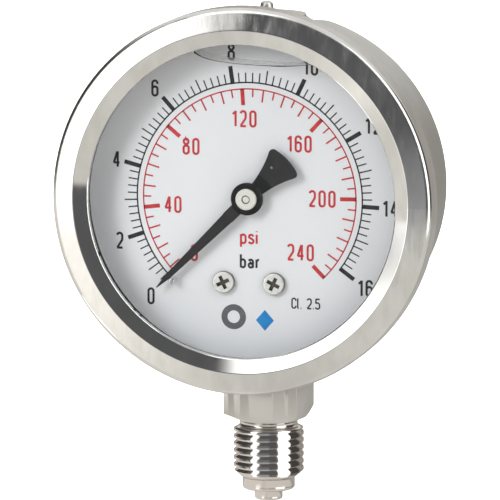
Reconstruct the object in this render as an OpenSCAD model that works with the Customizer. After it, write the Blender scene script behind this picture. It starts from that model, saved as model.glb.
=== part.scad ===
// Liquid-filled pressure gauge, nominal size 63, bottom connection G 1/4 B, 0 to 16 bar.
// The origin is the centre of the sealing face under the thread. +Z is up and the dial faces -Y.
// Depths named "front" are distances from the stem's axis towards the viewer, which is -Y.

/* [Case] */
// Height of the dial's centre above the sealing face
dial_z = 56.7; // [56.5:0.1:57]
// Outer diameter of the case body
case_d = 63; // [62.8:0.1:63.2]
// Sheet thickness of the case
case_wall = 0.8; // [0.7:0.05:0.9]
// Distance from the stem's axis to the back of the case
case_back = 12; // [11.8:0.1:12.2]
// Outer radius of the bend between the case's side and its back
case_bend = 2; // [1.5:0.1:2.5]
// Front of the case's flange
flange_front = 17.5; // [17.45:0.05:17.55]
// Diameter of the case's flange
flange_d = 69.2; // [69:0.1:69.3]
// Distance of the filler plug's axis in front of the stem's axis
plug_front = 1.7; // [1.5:0.1:2]
// Height of the flattened crown of the case, above the dial's centre
crown = 30.2; // [30.1:0.1:30.4]
// Height of the raised land under the filler plug, above the dial's centre
plug_land = 32.05; // [31.9:0.05:32.2]

/* [Bezel and window] */
// Outer diameter of the bezel
bezel_d = 71.1; // [71:0.05:71.2]
// Diameter of the bezel's opening
opening_d = 57.6; // [57.4:0.1:57.8]
// Front of the ridge between the bezel's two flanks
ridge_front = 22.6; // [22.5:0.05:22.7]
// Diameter of that ridge
ridge_d = 63; // [62.8:0.1:63.2]
// Front of the bezel where its outer edge begins to round off
bezel_edge_front = 22; // [21.95:0.05:22.05]
// Back of the window
window_back = 18.05; // [18:0.05:18.1]
// Thickness of the window
window_t = 1.8; // [1.75:0.05:1.85]
// Diameter of the window
window_d = 66.8; // [66.6:0.1:67]

/* [Dial and pointer] */
// Front face of the dial
dial_front = 14.9; // [14.85:0.05:14.95]
// Thickness of the dial
dial_t = 0.5; // [0.45:0.05:0.5]
// Diameter of the dial
dial_d = 60.6; // [60.2:0.1:60.8]
// Distance between the two dial screws
dial_screw_gap = 9.5; // [9.3:0.1:9.7]
// Distance of the dial screws below the centre
dial_screw_drop = 15.7; // [15.5:0.1:15.8]
// Angle of the pointer at rest, clockwise from the top
pointer_rest = -134.7; // [-134.9:0.1:-134.5]
// Length of the pointer from its axis to its tip
pointer_len = 24.1; // [23.5:0.1:24.5]
// Back face of the pointer
pointer_back = 16.5; // [16.4:0.05:16.6]
// Radius of the pointer's counterweight
fan_r = 10.65; // [10.4:0.05:10.9]

/* [Process connection] */
// Major diameter of the G 1/4 thread
thread_d = 13.157; // [13.1:0.001:13.157]
// Pitch of the thread
thread_pitch = 1.337; // [1.3:0.001:1.35]
// Number of thread crests
thread_turns = 7; // [6:1:7]
// Length from the sealing face to the wrench square
shank_len = 13; // [13:0.05:13.6]
// Width across the flats of the wrench square
wrench_af = 14; // [13.9:0.05:14.1]
// Diameter of the collar that presses on the gasket
collar_d = 9.8; // [9.5:0.1:9.9]
// Diameter of the centring pin
pin_d = 5.2; // [5:0.1:5.3]
// Length of the centring pin
pin_len = 2; // [1.8:0.1:2.2]
// Diameter of the inlet bore
inlet_d = 3; // [2.8:0.1:3.2]

/* [Movement] */
// Module of the gears
gear_module = 0.25; // [0.25:0.01:0.25]
// Teeth of the pinion
pinion_teeth = 10; // [10:1:10]
// Teeth of the whole circle that the sector is a part of
sector_teeth = 90; // [90:1:90]
// Turn of the sector for the full scale
sector_swing = 30; // [30:1:30]
// Distance from the sector's axis to its link pin
tail_r = 5; // [4.9:0.05:5.1]
// Distance between the link's two pins
link_len = 11; // [10.9:0.05:11.1]
// Mean radius of the Bourdon tube
tube_r = 20.5; // [20.3:0.1:20.7]
// Travel of the tube's tip for the full scale
tip_travel = 2.6; // [2.5:0.05:2.6]

/* [Hidden] */
$fn = 96;

satin_steel = [0.70, 0.70, 0.68];
bright_steel = [0.82, 0.82, 0.80];
brass = [0.78, 0.65, 0.34];
rubber = [0.08, 0.08, 0.09];

// Through-cut allowance, so that a cut passes both faces
past = 1;
// Gap between a turning shaft and its hole
running_gap = 0.04;

case_r = case_d / 2;
flange_r = flange_d / 2;
flange_back = flange_front - case_wall;
stem_half = wrench_af / 2;
inner_half = stem_half - 0.2;

bezel_r = bezel_d / 2;
opening_r = opening_d / 2;
ridge_r = ridge_d / 2;
window_r = window_d / 2;
window_front = window_back + window_t;
gasket_front = 20.8;
bezel_t = 0.7;
bezel_inner_r = bezel_r - bezel_t;
bezel_back = flange_back - 0.5;

dial_back = dial_front - dial_t;
shaft_r = 0.6;
pivot_r = 0.4;
front_plate_back = dial_back - 1.1;
back_plate_back = stem_half;
back_plate_front = back_plate_back + 1;
plate_half_w = 8.5;
plate_top = 4.5;
pillar_r = 1.5;
pillar_bore_r = 0.7;
rivet_r = 0.8;
pillar_spots = [[-6.5, 2.6], [6.5, 2.6], [-6.8, -17.3], [6.8, -17.3]];
movement_screw_spots = [[-3, -20.6], [3, -20.6]];
dial_screw_spots = [for (side = [-1, 1]) [side * dial_screw_gap / 2, -dial_screw_drop]];
dial_screw_r = 1;

pinion_r = gear_module * pinion_teeth / 2;
sector_r = gear_module * sector_teeth / 2;
sector_drop = pinion_r + sector_r;
gear_ratio = sector_teeth / pinion_teeth;
sector_back = 10.4;
sector_front = 11.2;
link_back = sector_front + 0.1;
link_front = link_back + 0.6;
link_pin_r = 0.4;
// The tail and the link stand square to each other at half scale
link_angle = 46;
tail_angle_mid = link_angle - 90;
tail_angle = tail_angle_mid - sector_swing / 2;
tail_mid = [tail_r * cos(tail_angle_mid), tail_r * sin(tail_angle_mid) - sector_drop];
tail_rest = [tail_r * cos(tail_angle), tail_r * sin(tail_angle) - sector_drop];
tip_reach = link_len - tip_travel / 2;
tip_rest = tail_mid + tip_reach * [cos(link_angle), sin(link_angle)];

tube_half_w = 5;
tube_half_t = 1.5;
tube_wall = 0.45;
// Angles run anticlockwise from the right as the viewer sees them
tube_end_angle = -28;
tube_start_angle = 257;
tip_block_angle = 8;
tip_block = [tube_r * cos(tube_end_angle - 5), tube_r * sin(tube_end_angle - 5)];

// The viewer's frame: x right, y up, z towards the viewer, with its origin at the dial's centre
module facing() translate([0, 0, dial_z]) rotate([90, 0, 0]) children();

// A straight round piece between two depths
module disc(radius, back, front) translate([0, 0, back]) cylinder(r = radius, h = front - back);

// A flat piece between two depths, from a 2D outline
module plate(back, front) translate([0, 0, back]) linear_extrude(front - back) children();

// Points of an arc about c, from angle a to angle b in n steps
function arc(c, radius, a, b, n = 8) =
    [for (i = [0:n]) c + radius * [cos(a + (b - a) * i / n), sin(a + (b - a) * i / n)]];

// Rectangle with round corners, made of true arcs
module round_rect(x0, x1, y0, y1, radius) {
    translate([x0 + radius, y0]) square([x1 - x0 - 2 * radius, y1 - y0]);
    translate([x0, y0 + radius]) square([x1 - x0, y1 - y0 - 2 * radius]);
    for (x = [x0 + radius, x1 - radius])
        for (y = [y0 + radius, y1 - radius])
            translate([x, y]) circle(radius, $fn = 32);
}

// Flat bar with round ends between two points
module bar(p, q, half_w) {
    along = q - p;
    translate(p) circle(half_w, $fn = 32);
    translate(q) circle(half_w, $fn = 32);
    translate(p) rotate(atan2(along[1], along[0])) translate([0, -half_w]) square([norm(along), 2 * half_w]);
}

// ---- case, bezel and window ----

// Outlines of half the case: its outside, and the hollow inside its wall
case_outside = concat(
    [[0, -case_back]],
    arc([case_r - case_bend, case_bend - case_back], case_bend, -90, 0),
    arc([case_r + 0.6, flange_back - 0.6], 0.6, 180, 90, 5),
    [[flange_r, flange_back], [flange_r, flange_front], [0, flange_front]]);
case_hollow = concat(
    [[0, case_wall - case_back]],
    arc([case_r - case_bend, case_bend - case_back], case_bend - case_wall, -90, 0),
    arc([case_r - case_wall + 1, flange_front - 1], 1, 180, 90, 5),
    [[case_r - case_wall + 1, flange_front + past], [0, flange_front + past]]);

plug_land_z = dial_z + plug_land;
plug_flange_r = 7.35;
plug_flange_t = 0.6;
plug_body_r = 4.9;
plug_hole_r = plug_body_r + 0.1;
// The land's side slopes down and runs out inside the case's round
land_r = plug_flange_r + 0.1;
land_slope = 33;
land_drop = 3.5;
// Front end of the flattened crown, behind the dial
crown_front = dial_back - 1.2;

// Solid of revolution with its top flattened at a height, from the back to a depth
module crowned(outline, height, front) difference() {
    facing() rotate_extrude($fn = 128) polygon(outline);
    translate([-case_r, -front, dial_z + height]) cube([case_d, front + case_back + past, case_r]);
}

module land_cone(top) translate([0, -plug_front, top - land_drop])
    cylinder(r1 = land_r + land_drop / tan(land_slope), r2 = land_r, h = land_drop, $fn = 128);

module case() color(satin_steel) difference() {
    union() {
        crowned(case_outside, crown, crown_front);
        land_cone(plug_land_z);
    }
    crowned(case_hollow, crown - case_wall, crown_front + case_wall);
    land_cone(plug_land_z - case_wall);
    translate([0, -plug_front, plug_land_z - 2]) cylinder(r = plug_hole_r, h = 3);
    translate([-inner_half - 0.03, -stem_half - 0.03, dial_z - case_r - past])
        cube([2 * inner_half + 0.06, wrench_af + 0.06, 4]);
}

// Slopes of the bezel's two flanks, and the rounding of its edges
inner_slope = 19;
outer_slope = 11;
lip_round = 0.35;
ridge_round = 0.5;
edge_round = 1.1;
back_round = 0.4;
lip_front = 21.5;
hook_r = flange_r - 1.8;
module bezel() color(bright_steel) facing() rotate_extrude($fn = 128) polygon(concat(
    [[opening_r, gasket_front]],
    arc([opening_r + lip_round, lip_front], lip_round, 180, 90 + inner_slope, 4),
    arc([ridge_r, ridge_front - ridge_round], ridge_round, 90 + inner_slope, 90 - outer_slope, 4),
    arc([bezel_r - edge_round, bezel_edge_front - edge_round * cos(outer_slope)],
        edge_round, 90 - outer_slope, 0, 8),
    arc([bezel_r - back_round, bezel_back + back_round], back_round, 0, -90, 4),
    [[hook_r, bezel_back], [hook_r, flange_back], [bezel_inner_r, flange_back],
     [bezel_inner_r, gasket_front]]));

module window() color([0.85, 0.90, 0.92, 0.35]) facing() disc(window_r, window_back, window_front);

gasket_edge_r = opening_r + 0.1;
gasket_back_r = 30.4;
gasket_groove_r = window_r + 0.05;
gasket_outer_r = bezel_inner_r - 0.05;
module window_gasket() color(rubber) facing() rotate_extrude($fn = 128) polygon([
    [gasket_back_r, flange_front], [gasket_outer_r, flange_front], [gasket_outer_r, gasket_front],
    [gasket_edge_r, gasket_front], [gasket_edge_r, window_front], [gasket_groove_r, window_front],
    [gasket_groove_r, window_back], [gasket_back_r, window_back]]);

nipple_r = 1.2;
nipple_h = 2.25;
module filler_plug() color([0.72, 0.72, 0.69]) translate([0, -plug_front, plug_land_z]) {
    rotate_extrude() polygon(concat(
        [[0, -2.6], [plug_body_r - 0.3, -2.6], [plug_body_r, -2.3], [plug_body_r, 0], [plug_flange_r, 0]],
        arc([plug_flange_r - 0.25, plug_flange_t - 0.25], 0.25, 0, 90, 4),
        arc([nipple_r + 0.5, plug_flange_t + 0.4], 0.4, 270, 180, 4),
        arc([nipple_r - 0.8, plug_flange_t + nipple_h - 0.8], 0.8, 0, 90, 5),
        [[0, plug_flange_t + nipple_h]]));
}

// ---- dial and pointer ----

stop_pin_r = 0.6;
stop_pin_at = 21.1;
stop_pin_front = 17.2;
stop_half_w = 0.52;
// Seen from the axis, the pin's centre is half the pointer's width and its own radius away from the pointer
stop_pin_angle = pointer_rest - asin((stop_pin_r + stop_half_w + 0.03) / stop_pin_at);

module on_stop_pin() rotate(-stop_pin_angle) translate([0, stop_pin_at]) children();

module dial() color([0.86, 0.87, 0.88]) facing() difference() {
    disc(dial_d / 2, dial_back, dial_front);
    disc(1.4, dial_back - past, dial_front + past);
    for (spot = dial_screw_spots)
        translate(spot) disc(dial_screw_r + 0.1, dial_back - past, dial_front + past);
    on_stop_pin() disc(stop_pin_r, dial_back - past, dial_front + past);
}

screw_head_r = 2.05;
screw_head_t = 1.15;
screw_head_round = 0.4;
module cross_recess(arm, width, depth) for (turn = [0, 90]) rotate(turn)
    translate([-arm, -width / 2, -depth]) cube([2 * arm, width, depth + past]);

// Pan-head screw with a cross recess; the head sits on z = 0 and points to +z
module pan_screw(shank_r, shank_len, head_r, head_t) difference() {
    rotate_extrude($fn = 48) polygon(concat(
        [[0, -shank_len], [shank_r - 0.15, -shank_len], [shank_r, 0.15 - shank_len], [shank_r, 0]],
        [[head_r, 0]],
        arc([head_r - screw_head_round, head_t - screw_head_round], screw_head_round, 0, 90, 5),
        [[0, head_t]]));
    translate([0, 0, head_t]) cross_recess(head_r * 0.62, head_r * 0.34, head_t * 0.65);
}

module dial_screws() color(bright_steel) facing()
    for (i = [0, 1]) translate([dial_screw_spots[i][0], dial_screw_spots[i][1], dial_front])
        rotate(25 + 40 * i)
            pan_screw(dial_screw_r, dial_front - front_plate_back, screw_head_r, screw_head_t);

module zero_stop_pin() color(bright_steel) facing() on_stop_pin() rotate_extrude($fn = 32) polygon(concat(
    [[0, dial_back], [stop_pin_r, dial_back]],
    arc([stop_pin_r - 0.25, stop_pin_front - 0.25], 0.25, 0, 90, 4),
    [[0, stop_pin_front]]));

hub_plate_r = 3;
cap_r = 1.95;
cap_front = 17.7;
pointer_t = 0.4;
boss_front = 17.15;
// Half widths of the needle at the hub, after its small step, near the stop pin and at its tip
needle_root = 1.15;
needle_step = 1.07;
needle_tip = 0.08;
// Each side of the fan is an arc about this point, and its corner is an arc tangent to the side and the rim
fan_side_at = [21.2, -0.2];
fan_side_r = 20;
fan_corner = 0.75;
// Point at given distances from the origin and from c, the lower one of the two
function meet(c, from_origin, from_c) = let (
    d = norm(c),
    along = (pow(from_origin, 2) - pow(from_c, 2) + pow(d, 2)) / (2 * d),
    across = sqrt(pow(from_origin, 2) - pow(along, 2)))
    (along * c + across * [c[1], -c[0]]) / d;
fan_corner_at = meet(fan_side_at, fan_r - fan_corner, fan_side_r + fan_corner);
fan_corner_turn = atan2(fan_corner_at[1], fan_corner_at[0]);
fan_side_turn = 180 + atan2(fan_side_at[1] - fan_corner_at[1], fan_side_at[0] - fan_corner_at[0]);
fan_side_start = 186;
fan_hole_at = [0.95, -7.45];
fan_hole_r = 0.25;
fan_outline = concat(
    arc(fan_side_at, fan_side_r, fan_side_start, fan_side_turn),
    arc(fan_corner_at, fan_corner, fan_side_turn - 180, fan_corner_turn),
    arc([0, 0], fan_r, fan_corner_turn, -90));

// Outline of the needle and of the fan, along +y and -y
module pointer_outline() {
    polygon([[-needle_root, 0], [-needle_root, 5], [-needle_step, 5.3], [-stop_half_w, stop_pin_at],
        [-needle_tip, pointer_len], [needle_tip, pointer_len], [stop_half_w, stop_pin_at],
        [needle_step, 5.3], [needle_root, 5], [needle_root, 0]]);
    for (side = [-1, 1]) polygon(concat([[0, 0]], [for (p = fan_outline) [side * p[0], p[1]]]));
}

module pointer() color([0.05, 0.05, 0.05]) facing() rotate(-pointer_rest) difference() {
    union() {
        plate(pointer_back, pointer_back + pointer_t) pointer_outline();
        rotate_extrude($fn = 64) polygon([[0, pointer_back], [hub_plate_r, pointer_back],
            [hub_plate_r, pointer_back + pointer_t], [hub_plate_r - 0.35, boss_front], [0, boss_front]]);
    }
    disc(cap_r, pointer_back - past, boss_front + past);
    translate(fan_hole_at) disc(fan_hole_r, pointer_back - past, pointer_back + past);
}

module pointer_hub() color(bright_steel) facing() difference() {
    rotate_extrude($fn = 64) polygon([[0, pointer_back - 0.5], [1.3, pointer_back - 0.5], [1.3, pointer_back],
        [cap_r, pointer_back], [cap_r, cap_front - 0.15], [cap_r - 0.15, cap_front], [0, cap_front]]);
    disc(shaft_r, pointer_back - past, cap_front + past);
    disc(shaft_r + 0.15, cap_front - 0.3, cap_front + past);
}

// ---- movement ----

// Roll angle of an involute, in degrees, at a radius outside its base circle
function involute(base, radius) = radius <= base ? 0
    : sqrt(pow(radius / base, 2) - 1) * 180 / PI - acos(base / radius);
// Half the angle of a tooth at a radius
function tooth_half(teeth, pitch, radius, play) =
    90 / teeth - play / pitch * 90 / PI
    + involute(pitch * cos(20), pitch) - involute(pitch * cos(20), radius);
// Both flanks of one tooth that points at angle a
function tooth(a, teeth, pitch, root, tip, play) = let (
    steps = 4,
    flank = [for (i = [0:steps]) root + (tip - root) * i / steps],
    half = [for (r = flank) tooth_half(teeth, pitch, r, play)])
    concat([for (i = [0:steps]) flank[i] * [cos(a - half[i]), sin(a - half[i])]],
        [for (i = [steps:-1:0]) flank[i] * [cos(a + half[i]), sin(a + half[i])]]);

tooth_play = 0.05;
pinion_back = 9.6;
pinion_front = 11.9;
collet_back = 12.05;
collet_front = 12.75;
collet_r = 1.5;

module pinion_arbor() color(bright_steel) facing() {
    tip_r = pinion_r + 0.9 * gear_module;
    root_r = pinion_r - 1.1 * gear_module;
    // At half scale a gap faces the sector, and at rest the pinion stands half its turn back from there
    rest_turn = gear_ratio * sector_swing / 2;
    plate(pinion_back, pinion_front) polygon([for (i = [0:pinion_teeth - 1])
        each tooth(rest_turn - 90 + (i + 0.5) * 360 / pinion_teeth,
            pinion_teeth, pinion_r, root_r, tip_r, tooth_play)]);
    disc(shaft_r, back_plate_front + 0.1, cap_front - 0.1);
    disc(pivot_r, back_plate_back + 0.1, back_plate_front + 0.1);
}

module hairspring_collet() color(brass) facing() difference() {
    disc(collet_r, collet_back, collet_front);
    disc(shaft_r, collet_back - past, collet_front + past);
}

spring_turns = 4.75;
spring_r0 = collet_r + 0.08;
spring_r1 = 4.7;
spring_half_t = 0.06;
spring_back = 12.15;
spring_front = 12.65;
function spiral(offset, turn) =
    let (r = spring_r0 + spring_half_t + (spring_r1 - spring_r0) * turn / spring_turns + offset)
    r * [cos(360 * turn), sin(360 * turn)];
module hairspring() color([0.75, 0.60, 0.30]) facing() {
    steps = 28 * spring_turns;
    plate(spring_back, spring_front) polygon(concat(
        [for (i = [0:steps]) spiral(-spring_half_t, i / 28)],
        [for (i = [steps:-1:0]) spiral(spring_half_t, i / 28)]));
}

stud_r = 0.5;
spring_end = 360 * spring_turns;
stud_at = spiral(0, spring_turns) + (stud_r + spring_half_t) * [cos(spring_end), sin(spring_end)];
module hairspring_stud() color(brass) facing()
    translate(stud_at) disc(stud_r, spring_back - 0.3, front_plate_back);

module movement_front_plate() color(brass) facing() difference() {
    plate(front_plate_back, dial_back) round_rect(-plate_half_w, plate_half_w, -19.2, plate_top, 1.5);
    disc(shaft_r + running_gap, front_plate_back - past, dial_back + past);
    translate([0, -sector_drop]) disc(pivot_r + running_gap, front_plate_back - past, dial_back + past);
    for (spot = dial_screw_spots)
        translate(spot) disc(dial_screw_r, front_plate_back - past, dial_back + past);
    for (spot = pillar_spots) translate(spot) {
        disc(pillar_bore_r, front_plate_back - past, dial_back + past);
        translate([0, 0, dial_back - 0.6]) cylinder(r1 = pillar_bore_r, r2 = 1.3, h = 0.6);
    }
}

module movement_back_plate() color(brass) facing() difference() {
    plate(back_plate_back, back_plate_front) round_rect(-plate_half_w, plate_half_w, -23.2, plate_top, 1.5);
    disc(pivot_r + running_gap, back_plate_back - past, back_plate_front + past);
    translate([0, -sector_drop]) disc(pivot_r + running_gap, back_plate_back - past, back_plate_front + past);
    for (spot = pillar_spots) translate(spot) disc(rivet_r, back_plate_back - past, back_plate_front + past);
    for (spot = movement_screw_spots)
        translate(spot) disc(movement_screw_r, back_plate_back - past, back_plate_front + past);
}

// Spacers riveted into the back plate and tapped at the front
module plate_pillars() color(brass) facing() for (spot = pillar_spots) translate(spot) difference() {
    union() {
        disc(pillar_r, back_plate_front, front_plate_back);
        disc(rivet_r, back_plate_back, back_plate_front);
    }
    disc(pillar_bore_r, front_plate_back - 3, front_plate_back + past);
}

module pillar_screws() color(bright_steel) facing() for (spot = pillar_spots) translate(spot) difference() {
    union() {
        disc(pillar_bore_r, front_plate_back - 2.6, dial_back - 0.05);
        translate([0, 0, dial_back - 0.6]) cylinder(r1 = pillar_bore_r, r2 = 1.2, h = 0.55);
    }
    translate([-1.5, -0.15, dial_back - 0.35]) cube([3, 0.3, 1]);
}

movement_screw_len = 4;
movement_screw_r = 0.9;
module movement_screws() color(bright_steel) facing() for (spot = movement_screw_spots)
    translate([spot[0], spot[1], back_plate_front]) pan_screw(movement_screw_r, movement_screw_len, 1.6, 0.9);

sector_hub_r = 2.1;
arbor_r = 1;
sector_rim = sector_r - 1.9;
sector_span = 21;

// Toothed sector at half scale, with its centre line up and its tail to the link
module sector_outline() {
    root_r = sector_r - 1.25 * gear_module;
    tip_r = sector_r + 0.7 * gear_module;
    pitch_angle = 360 / sector_teeth;
    difference() {
        union() {
            polygon(concat([[0, 0]], [for (i = [-5:5])
                each tooth(90 + i * pitch_angle, sector_teeth, sector_r, root_r, tip_r, tooth_play)]));
            intersection() {
                circle(root_r, $fn = 128);
                polygon([[0, 0], 14 * [cos(90 - sector_span), sin(90 - sector_span)], [0, 16],
                    14 * [cos(90 + sector_span), sin(90 + sector_span)]]);
            }
            circle(sector_hub_r, $fn = 48);
            bar([0, 0], tail_r * [cos(tail_angle_mid), sin(tail_angle_mid)], 1);
            translate(tail_r * [cos(tail_angle_mid), sin(tail_angle_mid)]) circle(1.15, $fn = 32);
        }
        intersection() {
            difference() {
                circle(sector_rim, $fn = 96);
                circle(sector_hub_r + 0.9, $fn = 48);
            }
            polygon([[0, 1.2], 14 * [cos(78), sin(78)], 14 * [cos(102), sin(102)]]);
        }
    }
}

module sector() color(brass) facing() translate([0, -sector_drop]) rotate(-sector_swing / 2) difference() {
    plate(sector_back, sector_front) sector_outline();
    disc(arbor_r, sector_back - past, sector_front + past);
    translate(tail_r * [cos(tail_angle_mid), sin(tail_angle_mid)])
        disc(link_pin_r, sector_back - past, sector_front + past);
}

module sector_arbor() color(bright_steel) facing() translate([0, -sector_drop]) {
    disc(arbor_r, back_plate_front + 0.1, front_plate_back - 0.1);
    disc(pivot_r, back_plate_back + 0.1, dial_back - 0.1);
}

// Rivet pin: a shank through the lower piece with a head over the link
module link_pin(back) {
    disc(link_pin_r, back, link_front + 0.1);
    disc(0.75, link_front + 0.1, link_front + 0.5);
}

module sector_link_pin() color(bright_steel) facing() translate(tail_rest) link_pin(sector_back);

open_pivot_play = 0.2;
module link() color(brass) facing() difference() {
    plate(link_back, link_front) union() {
        bar(tail_rest, tip_rest, 0.7);
        translate(tail_rest) circle(1.1, $fn = 32);
        translate(tip_rest) circle(1.2, $fn = 32);
    }
    translate(tail_rest) disc(link_pin_r + running_gap, link_back - past, link_front + past);
    translate(tip_rest) disc(link_pin_r + open_pivot_play, link_back - past, link_front + past);
}

arm_back = sector_back - 0.1;
module tube_tip() color(brass) facing() difference() {
    union() {
        rotate(tube_end_angle - tip_block_angle - 0.1) rotate_extrude(angle = tip_block_angle, $fn = 96)
            flat_oval(tube_r, tube_half_w + 0.3, tube_half_t + 0.3);
        translate(tip_block) disc(1.5, 0, sector_front);
        plate(arm_back, sector_front) bar(tip_block, tip_rest, 1.4);
    }
    translate(tip_rest) disc(link_pin_r, arm_back - past, sector_front + past);
}

module tip_link_pin() color(bright_steel) facing() translate(tip_rest) link_pin(arm_back);

// Section of the flattened tube: straight sides along the depth, with round ends
module flat_oval(radius, half_w, half_t) {
    translate([radius - half_t, half_t - half_w]) square([2 * half_t, 2 * (half_w - half_t)]);
    for (side = [-1, 1]) translate([radius, side * (half_w - half_t)]) circle(half_t, $fn = 32);
}

tube_sweep = tube_start_angle - tube_end_angle;
module tube_solid(grow) rotate(tube_end_angle) rotate_extrude(angle = tube_sweep, $fn = 128)
    flat_oval(tube_r, tube_half_w + grow, tube_half_t + grow);

module bourdon_tube() color(brass) facing() rotate(tube_end_angle)
    rotate_extrude(angle = tube_sweep, $fn = 128) difference() {
        flat_oval(tube_r, tube_half_w, tube_half_t);
        flat_oval(tube_r, tube_half_w - tube_wall, tube_half_t - tube_wall);
    }

// ---- process connection ----

thread_r = thread_d / 2;
thread_root_r = thread_r - 0.64 * thread_pitch;
crest_land = 0.3;
thread_start = 3.3;
collar_len = 2.3;
neck_r = 5.42;
inlet_top = 36.5;
square_top = 24.6;
block_top = dial_z - 17.2;
restrictor_r = 1.5;

function thread_profile() = [for (i = [0:thread_turns - 1]) let (z = thread_start + i * thread_pitch)
    each [[thread_r, z], [thread_r, z + crest_land],
        [thread_root_r, z + crest_land + 0.37], [thread_root_r, z + thread_pitch - 0.37]]];

// Turned lower end: centring pin, collar, thread rings, neck and the cone under the square
module turned_shank() rotate_extrude() polygon(concat(
    [[0, -pin_len], [pin_d / 2 - 0.4, -pin_len], [pin_d / 2, 0.4 - pin_len], [pin_d / 2, 0]],
    arc([collar_d / 2 - 0.8, 0.8], 0.8, -90, 0, 5),
    [[collar_d / 2, collar_len]],
    thread_profile(),
    [[neck_r, shank_len - 0.6], [neck_r, shank_len + past], [0, shank_len + past]]));

// Cone that the square's corners are turned to
chamfer_slope = 24;
module corner_cone() translate([0, 0, shank_len])
    cylinder(r1 = neck_r, r2 = neck_r + 30, h = 30 * tan(chamfer_slope));

module process_connection() color([0.74, 0.73, 0.71]) difference() {
    union() {
        turned_shank();
        intersection() {
            translate([-stem_half, -stem_half, shank_len])
                cube([wrench_af, wrench_af, square_top - shank_len]);
            corner_cone();
        }
        translate([-inner_half, -stem_half, square_top])
            cube([2 * inner_half, wrench_af, block_top - square_top]);
    }
    translate([0, 0, -pin_len - past]) cylinder(d = inlet_d, h = inlet_top + pin_len + past, $fn = 48);
    translate([0, 0, inlet_top - 0.4]) rotate([0, -90, 0]) cylinder(r = 0.9, h = 6, $fn = 32);
    facing() tube_solid(0.05);
    facing() for (spot = movement_screw_spots)
        translate(spot) disc(movement_screw_r, stem_half - movement_screw_len - 0.2, stem_half + past);
}

module restrictor_screw() color(brass) difference() {
    translate([0, 0, 0.5]) cylinder(r = restrictor_r, h = 4, $fn = 48);
    translate([0, 0, 0]) cylinder(r = 0.25, h = 6, $fn = 24);
    translate([-2, -0.2, 0]) cube([4, 0.4, 1.1]);
}

case();
bezel();
window();
window_gasket();
filler_plug();
dial();
dial_screws();
zero_stop_pin();
pointer();
pointer_hub();
pinion_arbor();
hairspring_collet();
hairspring();
hairspring_stud();
movement_front_plate();
movement_back_plate();
plate_pillars();
pillar_screws();
movement_screws();
sector();
sector_arbor();
sector_link_pin();
link();
tube_tip();
tip_link_pin();
bourdon_tube();
process_connection();
restrictor_screw();
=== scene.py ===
"""Looks of the pressure gauge. Metres; +Z up, the dial faces -Y, origin at the stem's sealing face."""
import math

import bmesh
import bpy
from mathutils import Matrix, Vector


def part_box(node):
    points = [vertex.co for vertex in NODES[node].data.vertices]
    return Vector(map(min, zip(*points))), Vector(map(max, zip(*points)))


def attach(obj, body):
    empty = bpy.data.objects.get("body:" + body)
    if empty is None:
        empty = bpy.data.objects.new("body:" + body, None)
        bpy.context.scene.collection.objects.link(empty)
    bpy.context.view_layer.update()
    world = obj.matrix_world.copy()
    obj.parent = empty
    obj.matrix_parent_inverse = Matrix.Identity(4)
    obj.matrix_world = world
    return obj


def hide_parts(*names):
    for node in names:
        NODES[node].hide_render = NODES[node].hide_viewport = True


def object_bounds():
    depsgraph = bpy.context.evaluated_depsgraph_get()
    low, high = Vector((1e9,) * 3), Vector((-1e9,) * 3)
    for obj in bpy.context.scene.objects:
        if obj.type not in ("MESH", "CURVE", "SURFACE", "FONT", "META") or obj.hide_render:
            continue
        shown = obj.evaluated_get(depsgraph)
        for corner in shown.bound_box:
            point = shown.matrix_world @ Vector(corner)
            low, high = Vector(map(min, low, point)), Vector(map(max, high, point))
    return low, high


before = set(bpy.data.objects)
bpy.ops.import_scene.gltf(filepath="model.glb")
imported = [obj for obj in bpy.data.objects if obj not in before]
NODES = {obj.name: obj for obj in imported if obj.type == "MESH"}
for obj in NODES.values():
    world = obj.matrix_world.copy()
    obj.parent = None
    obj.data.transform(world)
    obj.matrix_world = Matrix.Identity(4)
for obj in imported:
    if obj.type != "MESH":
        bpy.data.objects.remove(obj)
cad_lo, cad_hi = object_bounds()
MM = 0.001


def centre(node):
    lo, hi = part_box(node)
    return (lo + hi) / 2


DIAL_Z = centre("dial").z / MM
DIAL_F = -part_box("dial")[0].y / MM
WINDOW_BACK_F = -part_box("window")[1].y / MM
# Local millimetres (right, up, towards the viewer) to the model's metres
FACING = Matrix(((MM, 0, 0, 0), (0, 0, -MM, 0), (0, MM, 0, DIAL_Z * MM), (0, 0, 0, 1)))
UPRIGHT = Matrix.Scale(MM, 4)


# ---------------------------------------------------------------- camera
AZ, EL = math.radians(14.13), math.radians(8.40)
DISTANCE = 1073.75
RIGHT = Vector((math.cos(AZ), math.sin(AZ), 0))
UP = Vector((-math.sin(AZ) * math.sin(EL), math.cos(AZ) * math.sin(EL), math.cos(EL)))
BACK = Vector((math.sin(AZ) * math.cos(EL), -math.cos(AZ) * math.cos(EL), math.sin(EL)))
target = -3.514 * RIGHT + 44.42 * UP
cam_data = bpy.data.cameras.new("camera")
cam_data.sensor_width = 36
cam_data.lens = 413.6
cam_data.clip_start = 0.05
cam_data.clip_end = 20
cam = bpy.data.objects.new("camera", cam_data)
cam.matrix_world = Matrix.Translation((target + BACK * DISTANCE) * MM) @ Matrix(
    (RIGHT, UP, BACK)).transposed().to_4x4()
bpy.context.scene.collection.objects.link(cam)
bpy.context.scene.camera = cam


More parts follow.
